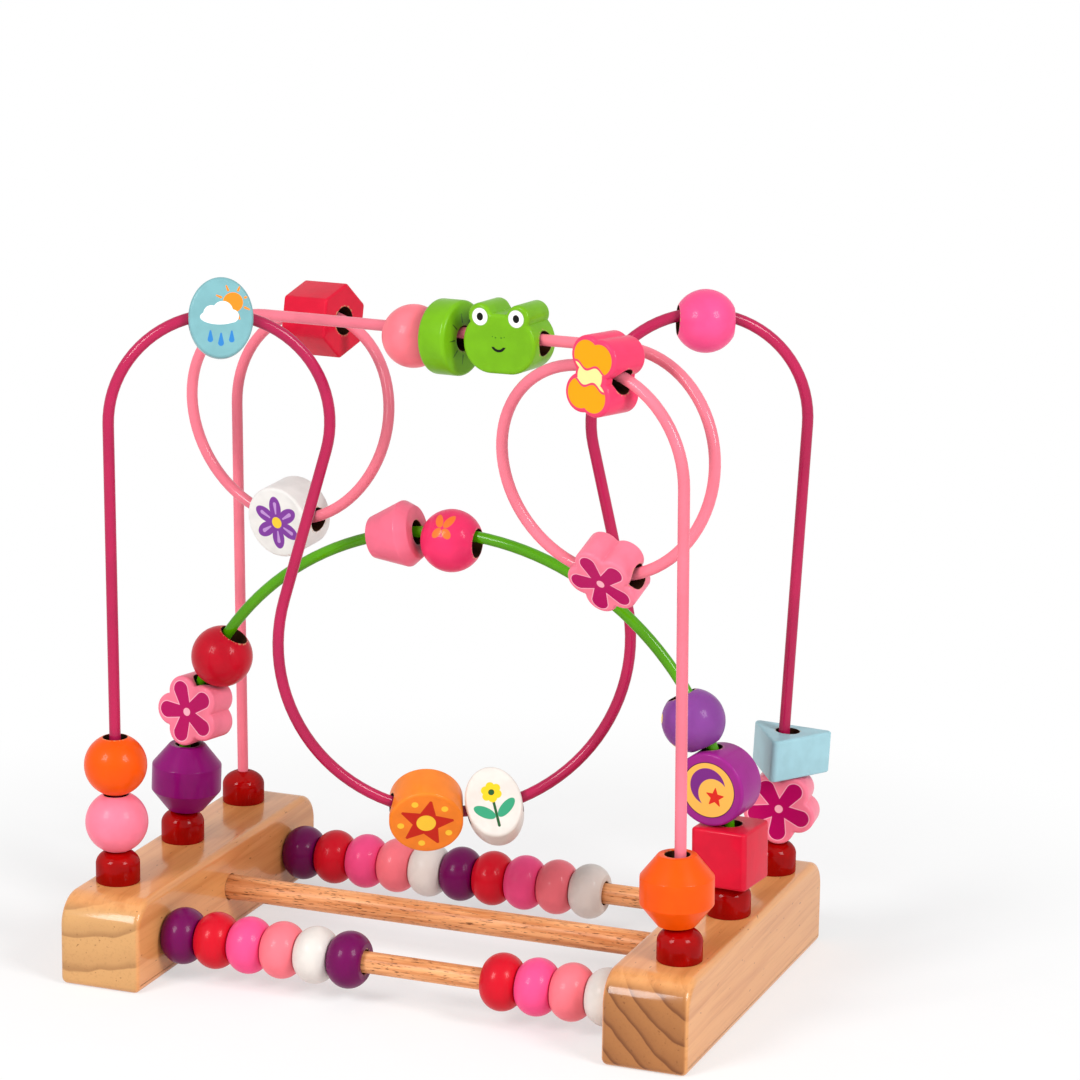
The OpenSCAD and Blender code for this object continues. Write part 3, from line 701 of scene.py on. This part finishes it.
def tidyMesh(mesh, sharp=None):  # sharp: degrees from which an edge stays crisp
    work = bmesh.new()
    work.from_mesh(mesh)
    bmesh.ops.remove_doubles(work, verts=work.verts, dist=meshLook["double"])
    bmesh.ops.recalc_face_normals(work, faces=work.faces)
    work.to_mesh(mesh)
    work.free()
    mesh.polygons.foreach_set("use_smooth", [True] * len(mesh.polygons))
    if sharp:
        mesh.set_sharp_from_angle(angle=math.radians(sharp))
    return mesh


def evaluated(holder):  # the mesh with its modifiers, as a mesh of its own
    graph = bpy.context.evaluated_depsgraph_get()
    graph.update()
    mesh = bpy.data.meshes.new_from_object(holder.evaluated_get(graph))
    old = holder.data
    bpy.data.objects.remove(holder)
    bpy.data.meshes.remove(old)
    return mesh


def turnedMesh(name, profile, finish, steps=72):
    line = bpy.data.meshes.new(name + "_profile")
    line.from_pydata([(r, 0.0, h) for r, h in profile], [], [])
    holder = bpy.data.objects.new(name + "_profile", line)
    scene.collection.objects.link(holder)
    modifier = holder.modifiers.new("turning", "NODES")
    modifier.node_group = turning
    setInput(modifier, "Steps", steps)
    setInput(modifier, "Finish", finish)
    return tidyMesh(evaluated(holder))


def setDown(node, mesh, matrix, finish):  # a finished piece in a node's place
    mesh.materials.clear()
    mesh.materials.append(finish)
    co = np.empty(len(mesh.vertices) * 3, np.float32)
    mesh.vertices.foreach_get("co", co)
    mesh.attributes.new("place", "FLOAT_VECTOR", "POINT").data.foreach_set("vector", co)
    mesh.transform(matrix)
    mesh.name = node + "_made"
    piece = bpy.data.objects.new(node + "_made", mesh)
    scene.collection.objects.link(piece)
    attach(piece, bodyOf[node])
    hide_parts(node)


ballLook = {"radius": 11.0, "lip": 0.7, "points": 31}


def ballProfile(bore):
    radius, lip = ballLook["radius"], ballLook["lip"]
    limit = math.acos(bore / radius)
    turns = np.linspace(-limit, limit, ballLook["points"])
    arc = [(radius * math.cos(t), radius * math.sin(t)) for t in turns]
    return roundCorners(arc, [lip] + [0] * (len(arc) - 2) + [lip])


drumLook = {"wide": 25.0, "long": 24.5, "belt": 9.5, "end": 13.0, "rounds": (0.5, 0.7, 0.8, 0.8, 0.7, 0.5)}


def drumProfile():
    wide, half, belt, end = (drumLook[k] / 2 for k in ("wide", "long", "belt", "end"))
    points = [(beadBore, -half), (end, -half), (wide, -belt), (wide, belt), (end, half), (beadBore, half)]
    return roundCorners(points, drumLook["rounds"])


coneLook = {"wide": 23.5, "end": 14.5, "long": 17.0, "bevel": 4.0, "rounds": (0.5, 0.8, 1.2, 0.9, 0.5)}


def coneProfile():
    wide, half, end = (coneLook[k] / 2 for k in ("wide", "long", "end"))
    bevel = coneLook["bevel"]
    points = [(beadBore, -half), (end, -half), (wide, half - bevel), (end + bevel / 2, half),
              (beadBore, half)]
    return roundCorners(points, coneLook["rounds"])


ringLook = {"wide": 26.0, "long": 11.0, "edge": 1.6, "lip": 0.8}


def ringProfile():
    wide, half = ringLook["wide"] / 2, ringLook["long"] / 2
    edge, lip = ringLook["edge"], ringLook["lip"]
    points = [(beadBore, -half), (wide, -half), (wide, half), (beadBore, half)]
    return roundCorners(points, [lip, edge, edge, lip])


countLook = {"rim": 7.2, "rimAt": 2.8, "long": 12.2, "edge": 0.9, "lip": 0.6, "points": 19}


def countProfile():
    rim, half = countLook["rim"], countLook["long"] / 2
    edge, lip = countLook["edge"], countLook["lip"]
    limit = math.asin(half / rim)
    turns = np.linspace(-limit, limit, countLook["points"])
    arc = [(countLook["rimAt"] + rim * math.cos(t), rim * math.sin(t)) for t in turns]
    points = [(beadBore, -half)] + arc + [(beadBore, half)]
    return roundCorners(points, [lip, edge] + [0] * (len(arc) - 2) + [edge, lip])


capLook = {"wide": 15.5, "tall": 12.0, "round": 5.4, "bore": 2.05, "foot": 0.3, "lip": 0.2, "railTop": 32.0,
           "points": 17, "steps": 56, "dark": ink(142, 2, 2), "light": ink(166, 5, 5)}


def capProfile():
    wide, tall, dome = capLook["wide"] / 2, capLook["tall"], capLook["round"]
    bore, foot, lip = capLook["bore"], capLook["foot"], capLook["lip"]
    limit = math.acos((bore + lip) / wide)
    turns = np.linspace(0, limit, capLook["points"])
    arc = [(wide * math.cos(t), tall - dome + dome * math.sin(t)) for t in turns]
    return [(bore, 0.0), (wide - foot, 0.0), (wide, foot)] + arc + [(bore, arc[-1][1] - lip)]


wideBalls = ("hotpink_ball", "top_ball", "red_ball", "printed_ball", "purple_ball")
counters = [f"{row}_bead_{k}" for row in ("front", "back") for k in range(1, 11)]
profiles = {node: ballProfile(beadBore) for node in ("orange_ball", "pink_ball")}
profiles.update({node: ballProfile(wideBore) for node in wideBalls})
profiles.update({node: drumProfile() for node in ("orange_drum", "purple_drum")})
profiles.update({"pink_cone": coneProfile(), "green_ring": ringProfile()})
profiles.update({node: countProfile() for node in counters})
turnedPaint = {
    "printed_ball": paintFinish("ball_bloom", ballInk["ground"], wideBore, marks=bloomMarks),
    "red_ball": paintFinish("ball_red", ink(192, 12, 36), wideBore),
    "purple_ball": paintFinish("ball_dots", paintInk["paint_violet"], wideBore, marks=dotMarks),
    "green_ring": paintFinish("ring_creases", paintInk["paint_green"], beadBore, marks=ringMarks),
    "orange_drum": paintFinish("drum_orange", paintInk["paint_orange"], beadBore, lathe=0.5),
    "purple_drum": paintFinish("drum_purple", ink(132, 6, 104), beadBore, lathe=0.5),
    "pink_cone": paintFinish("cone_pink", ink(238, 110, 136), beadBore, lathe=0.4)}
# the counting beads get a darker purple than the drum: partly painted shade for the shadow between the packed
# beads
countPurple = paintFinish("count_purple", ink(108, 5, 80), beadBore)
turnedPaint.update({node: countPurple for node in counters if slotOf[node] == "paint_purple"})
for node, profile in profiles.items():
    hole = wideBore if node in wideBalls else beadBore
    finish = turnedPaint.get(node) or plainPaint(slotOf[node], hole)
    setDown(node, turnedMesh(node, profile, finish), boreStance(node, boreWay(node)), finish)
capRed = plasticFinish("cap_red", capSkin, capLook["dark"], capLook["light"])
caps = [node for node in frame["nodes"] if node.startswith("cap_")]
for node in caps:
    middle = boxMiddle(node)
    middle.z = capLook["railTop"] * mm
    matrix = stance(middle, Vector((1, 0, 0)), Vector((0, 1, 0)), Vector((0, 0, 1)))
    setDown(node, turnedMesh(node, capProfile(), capRed, capLook["steps"]), matrix, capRed)
print("turned pieces:", len(profiles) + len(caps))


# Sawn pieces: an outline with rounded rims, and its holes
slabLook = {"rim": 1.2, "flat": 0.5, "sharpest": 0.6, "steps": 96}  # flat: from the rim to a face's edge
drillLook = {"sides": 56, "sharp": 34, "reach": 30.0}


def slabMesh(name, outline, thick, rim, steps=6):
    count = len(outline)
    points = [Vector(p) for p in outline]
    normals = []
    for i in range(count):
        a = (points[i] - points[i - 1]).normalized()
        b = (points[(i + 1) % count] - points[i]).normalized()
        n = Vector((a.y + b.y, -a.x - b.x)).normalized()
        normals.append(n / max(slabLook["sharpest"], n.dot(Vector((a.y, -a.x)))))
    quarter = [math.pi / 2 * k / steps for k in range(steps + 1)]
    upper = [(rim * (1 - math.cos(t)), thick / 2 - rim * (1 - math.sin(t))) for t in quarter]
    upper.append((rim + slabLook["flat"], thick / 2))
    rows = [(inset, -height) for inset, height in reversed(upper)] + upper
    spots = [(*(points[i] - normals[i] * inset), height) for inset, height in rows for i in range(count)]
    faces = []
    for r in range(len(rows) - 1):
        for i in range(count):
            j = (i + 1) % count
            faces.append((r * count + i, r * count + j, (r + 1) * count + j, (r + 1) * count + i))
    faces.append(tuple(range(count - 1, -1, -1)))
    faces.append(tuple(range((len(rows) - 1) * count, len(rows) * count)))
    mesh = bpy.data.meshes.new(name)
    mesh.from_pydata(spots, [], faces)
    return tidyMesh(mesh)


def drilled(name, mesh, holes):  # holes: radius, start and end points
    holder = bpy.data.objects.new(name + "_blank", mesh)
    scene.collection.objects.link(holder)
    bits = []
    for radius, start, end in holes:
        way = Vector(end) - Vector(start)
        turn = way.to_track_quat("Z", "Y").to_matrix().to_4x4()
        middle = Matrix.Translation((Vector(start) + Vector(end)) / 2)
        work = bmesh.new()
        bmesh.ops.create_cone(work, cap_ends=True, segments=drillLook["sides"], radius1=radius,
                              radius2=radius, depth=way.length)
        bmesh.ops.transform(work, verts=work.verts, matrix=middle @ turn)
        bitMesh = bpy.data.meshes.new(name + "_bit")
        work.to_mesh(bitMesh)
        work.free()
        bit = bpy.data.objects.new(name + "_bit", bitMesh)
        scene.collection.objects.link(bit)
        bits.append(bit)
        cut = holder.modifiers.new("hole", "BOOLEAN")
        cut.operation = "DIFFERENCE"
        cut.solver = "EXACT"
        cut.object = bit
    done = evaluated(holder)
    for bit in bits:
        data = bit.data
        bpy.data.objects.remove(bit)
        bpy.data.meshes.remove(data)
    return tidyMesh(done, drillLook["sharp"])


flowerLook = {"petals": 5, "petal": 5.9, "petalAt": 7.2, "thick": 12.5, "steps": 200}


def flowerOutline():
    sector = 2 * math.pi / flowerLook["petals"]

    def reach(angle):
        off = abs((angle + sector / 2) % sector - sector / 2)
        return lobeReach(off, flowerLook["petalAt"], 0.0, flowerLook["petal"])
    return ringOutline(reach, flowerLook["steps"])


frogLook = {"wide": 28.0, "tall": 20.5, "eye": 4.4, "eyeAt": 7.4, "eyeUp": 9.15, "thick": 15.0, "steps": 220}


def frogOutline():
    radius, side = frogLook["tall"] / 2, (frogLook["wide"] - frogLook["tall"]) / 2

    def reach(angle):
        head = radius / max(1e-6, abs(math.sin(angle)))
        if head * abs(math.cos(angle)) > side:
            head = lobeReach(angle, math.copysign(side, math.cos(angle)), 0.0, radius)
        eyes = [lobeReach(angle, s * frogLook["eyeAt"], frogLook["eyeUp"], frogLook["eye"]) for s in (-1, 1)]
        return max([head] + eyes)
    return ringOutline(reach, frogLook["steps"])


def cloverOutline():
    along, up, lobe = cloverLook["along"], cloverLook["up"], cloverLook["lobe"]

    def reach(angle):
        return max(lobe, *(lobeReach(angle, i * along, j * up, lobe) for i in (-1, 1) for j in (-1, 1)))
    return ringOutline(reach, cloverLook["steps"])


discLook = {"wide": 26.0, "thick": 15.0, "rim": 1.0}
ovalLook = {"along": 22.0, "tall": 27.5, "thick": 11.0}
eggLook = {"along": 20.0, "tall": 26.0, "thick": 13.0}
discOutline = ovalOutline(discLook["wide"], discLook["wide"], slabLook["steps"])
blueOutline = ovalOutline(ovalLook["along"], ovalLook["tall"], slabLook["steps"])
whiteOutline = ovalOutline(eggLook["along"], eggLook["tall"], slabLook["steps"])
printed = {
    "orange_disc": (discOutline, discLook["thick"], discLook["rim"], starMarks),
    "white_disc": (discOutline, discLook["thick"], discLook["rim"], violetMarks),
    "purple_disc": (discOutline, discLook["thick"], discLook["rim"], moonMarks),
    "blue_oval": (blueOutline, ovalLook["thick"], slabLook["rim"], skyMarks),
    "white_oval": (whiteOutline, eggLook["thick"], slabLook["rim"], leafMarks),
    "left_flower": (flowerOutline(), flowerLook["thick"], slabLook["rim"], flowerMarks),
    "right_flower": (flowerOutline(), flowerLook["thick"], slabLook["rim"], flowerMarks),
    "loop_flower": (flowerOutline(), flowerLook["thick"], slabLook["rim"], flowerMarks),
    "frog_head": (frogOutline(), frogLook["thick"], slabLook["rim"], frogMarks),
    "clover_block": (cloverOutline(), cloverLook["thick"], slabLook["rim"], cloverMarks)}
printGround = {cloverMarks: cloverInk["ground"], moonMarks: moonInk["ground"], skyMarks: skyInk["ground"],
               violetMarks: violetInk["ground"], leafMarks: leafInk["ground"]}
for node, (outline, thick, rim, marks) in printed.items():
    bore = boreWay(node)
    middle, across, facing = faceStance(node, bore)
    spots = [Vector(v.co) - middle for v in frame["nodes"][node].data.vertices]
    if marks is flowerMarks:  # one petal points along the bore
        reaches = [p.dot(bore) for p in spots]
        across = across if (max(reaches) > -min(reaches)) == (across.dot(bore) > 0) else -across
    upward = facing.cross(across)
    if marks is frogMarks:  # the eyes aren't part of the head's middle
        middle = middle + upward * (min(p.dot(upward) for p in spots) + frogLook["tall"] / 2 * mm)
    ground = printGround.get(marks, paintInk[slotOf[node]])
    finish = paintFinish(node + "_print", ground, beadBore, "x", marks, thick / 2)
    blank = slabMesh(node, outline, thick, rim)
    cut = drilled(node, blank, [(beadBore, (-drillLook["reach"], 0, 0), (drillLook["reach"], 0, 0))])
    setDown(node, cut, stance(middle, across, upward, facing), finish)
print("printed pieces:", len(printed))

raspberry = ink(212, 20, 52)
prismLook = {  # flat: from the middle to a side face
    "red_hexagon": {"sides": 6, "flat": 11.691, "round": 1.6, "long": 19.0, "rim": 0.9, "bore": wideBore},
    "blue_triangle": {"sides": 3, "flat": 8.75, "round": 1.7, "long": 15.0, "rim": 0.9, "bore": beadBore},
    "red_cube": {"sides": 4, "flat": 10.25, "round": 1.8, "long": 20.5, "rim": 1.1, "bore": beadBore}}


def polygonOutline(sides, flat, radius, steps=7):
    reach = flat / math.cos(math.pi / sides)
    return roundCorners(ringOutline(lambda angle: reach, sides), radius, steps)


for node, look in prismLook.items():
    outline = polygonOutline(look["sides"], look["flat"], look["round"])
    blank = slabMesh(node, outline, look["long"], look["rim"])
    cut = drilled(node, blank, [(look["bore"], (0, 0, -drillLook["reach"]), (0, 0, drillLook["reach"]))])
    ground = raspberry if slotOf[node] == "paint_red" else paintInk[slotOf[node]]
    finish = paintFinish(node + "_paint", ground, look["bore"])
    setDown(node, cut, endStance(node, boreWay(node)), finish)
print("sawn beads:", len(prismLook))


# Rails
railLook = {"long": 150.0, "tall": 32.0, "wide": 30.0, "round": 11.0, "toe": 2.5, "rim": 2.2,
            "cornerSteps": 14, "rimSteps": 8, "depth": 12.0, "over": 5.0,
            "rods": ((-51.0, 15.0, 4.15), (0.0, 16.5, 4.85), (51.0, 15.0, 4.15))}  # along, up, radius


def railPiece(node, inward, finish):
    look = railLook
    half = look["long"] / 2
    corners = [(-half, 0.0), (half, 0.0), (half, look["tall"]), (-half, look["tall"])]
    radii = [look["toe"], look["toe"], look["round"], look["round"]]
    outline = roundCorners(corners, radii, look["cornerSteps"])
    blank = slabMesh(node, outline, look["wide"], look["rim"], look["rimSteps"])
    floor = inward * (look["wide"] / 2 - look["depth"])
    mouth = inward * (look["wide"] / 2 + look["over"])
    holes = [(radius, (y, z, floor), (y, z, mouth)) for y, z, radius in look["rods"]]
    low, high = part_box(node)
    middle = Vector(((low.x + high.x) / 2, (low.y + high.y) / 2, low.z))
    matrix = stance(middle, Vector((0, 1, 0)), Vector((0, 0, 1)), Vector((1, 0, 0)))
    setDown(node, drilled(node, blank, holes), matrix, finish)


for side, inward in (("left", 1), ("right", -1)):
    railPiece("rail_" + side, inward, pineFinish("pine_" + side, railWood[side]))
print("rails made")


# Floor and light
floorLook = {"half": 20.0, "shade": (0.14, 0.34), "glow": 0.55, "grain": 40.0, "dark": ink(246, 246, 246),
             "light": ink(250, 250, 250)}  # near the part the floor glows less, so that its shadow shows
lightLook = {"left": (-0.53, -1.19, 0.95), "right": (1.19, -0.53, 0.95), "aim": (0.0, 0.0, 0.1),
             "wide": 0.5, "tall": 0.6, "power": 13.5, "world": 0.43}
white = (1.0, 1.0, 1.0, 1.0)


def seenRays(board):  # 1 for what the camera or a mirror sees, 0 for what lights the part
    path = board.add("ShaderNodeLightPath").socket.node
    rays = [Signal(board, path.outputs[k]) for k in ("Is Camera Ray", "Is Glossy Ray", "Is Transmission Ray")]
    return rays[0].step("MAXIMUM", rays[1]).step("MAXIMUM", rays[2])


def addFloor():
    look = floorLook
    half = look["half"]
    corners = [(-half, -half, 0), (half, -half, 0), (half, half, 0), (-half, half, 0)]
    mesh = bpy.data.meshes.new("floor")
    mesh.from_pydata(corners, [], [(0, 1, 2, 3)])
    material, board = newFinish("floor_white")
    place = board.add("ShaderNodeTexCoord", None, None, "Object")
    x, y = board.split(place)[:2]
    away = board.ramp((x * x + y * y).root(), *look["shade"]) * (1 - look["glow"]) + look["glow"]
    grain = board.noise(place, look["grain"])
    tone = board.tint(grain, look["dark"], look["light"])
    plain = board.add("ShaderNodeBsdfDiffuse", None, {"Color": tone})
    bright = board.add("ShaderNodeEmission", None, {"Color": white, "Strength": 1.0})
    mixed = board.add("ShaderNodeMixShader", None, {0: away * seenRays(board), 1: plain, 2: bright})
    board.add("ShaderNodeOutputMaterial", None, {"Surface": mixed})
    mesh.materials.append(material)
    floor = bpy.data.objects.new("floor", mesh)
    scene.collection.objects.link(floor)


def addLight(name, place):
    look = lightLook
    lamp = bpy.data.lights.new(name, "AREA")
    lamp.energy = look["power"]
    lamp.shape = "RECTANGLE"
    lamp.size = look["wide"]
    lamp.size_y = look["tall"]
    holder = bpy.data.objects.new(name, lamp)
    turn = (Vector(look["aim"]) - Vector(place)).to_track_quat("-Z", "Y").to_matrix().to_4x4()
    holder.matrix_world = Matrix.Translation(place) @ turn
    scene.collection.objects.link(holder)


def addWorld():
    world = bpy.data.worlds.new("studio")
    world.use_nodes = True
    world.node_tree.nodes.clear()
    board = Board(world.node_tree)
    power = seenRays(board) * (1.0 - lightLook["world"]) + lightLook["world"]
    sky = board.add("ShaderNodeBackground", None, {"Color": white, "Strength": power})
    board.add("ShaderNodeOutputWorld", None, {"Surface": sky})
    scene.world = world


addFloor()
for side in ("left", "right"):
    addLight("softbox_" + side, lightLook[side])
addWorld()
print("floor and light set")
